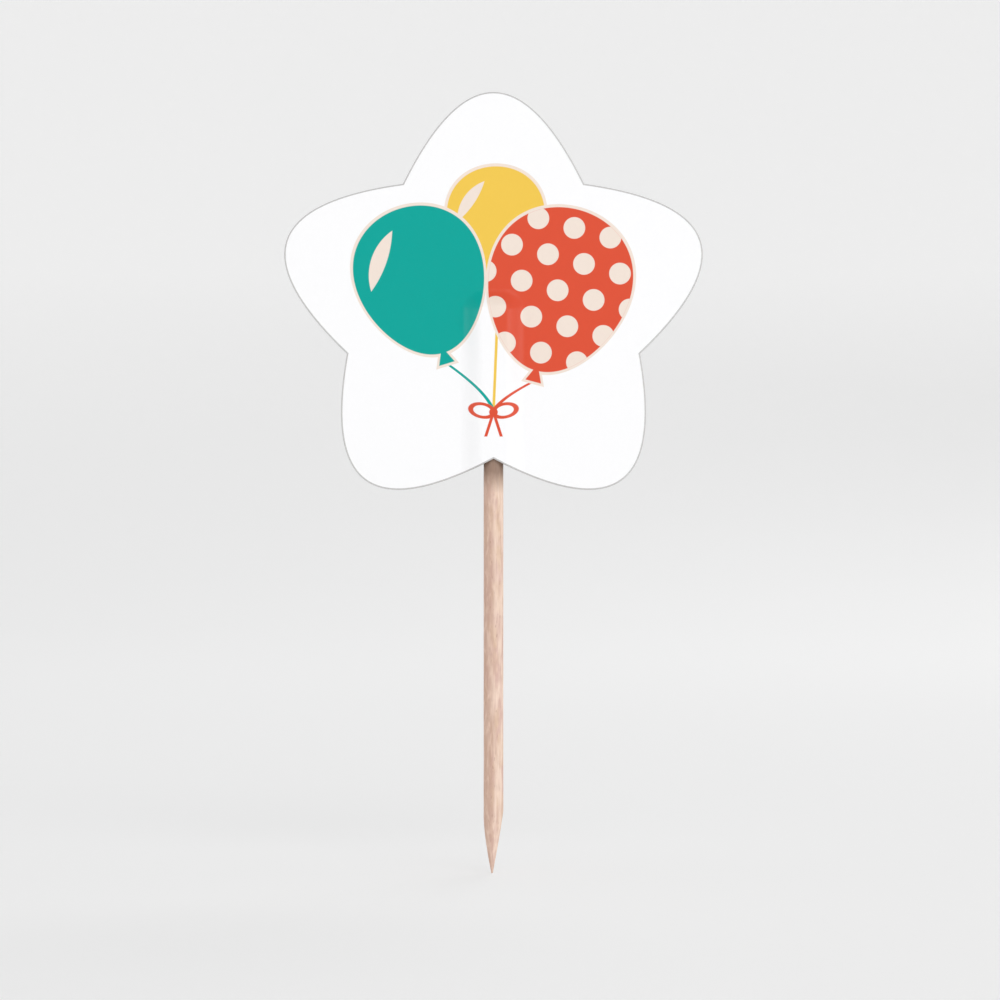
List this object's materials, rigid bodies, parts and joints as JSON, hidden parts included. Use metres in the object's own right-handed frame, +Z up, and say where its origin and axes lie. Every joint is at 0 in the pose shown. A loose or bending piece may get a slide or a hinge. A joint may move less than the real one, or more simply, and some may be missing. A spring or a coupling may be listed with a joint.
{
  "type": "cupcake pick",
  "caption": "Flat star with rounded lobes, of two cards stuck back to back round the top of a short pointed wooden stick that is pushed into a cupcake.",
  "frame": {"origin": "the point of the stick, which goes into the cake", "axes": "+Z up along the stick, -Y out of the front of the star, +X to the right seen from the front"},
  "size_m": [0.0484, 0.0032, 0.0902],
  "materials": {
    "printed_card": "satin",
    "plain_card": "matte",
    "adhesive": "gloss",
    "stick_wood": "matte"
  },
  "bodies": {
    "root": {"front_card": "printed_card", "front_adhesive": "adhesive", "pick_stick": "stick_wood", "back_adhesive": "adhesive", "back_card": "plain_card"}
  },
  "joints": []
}
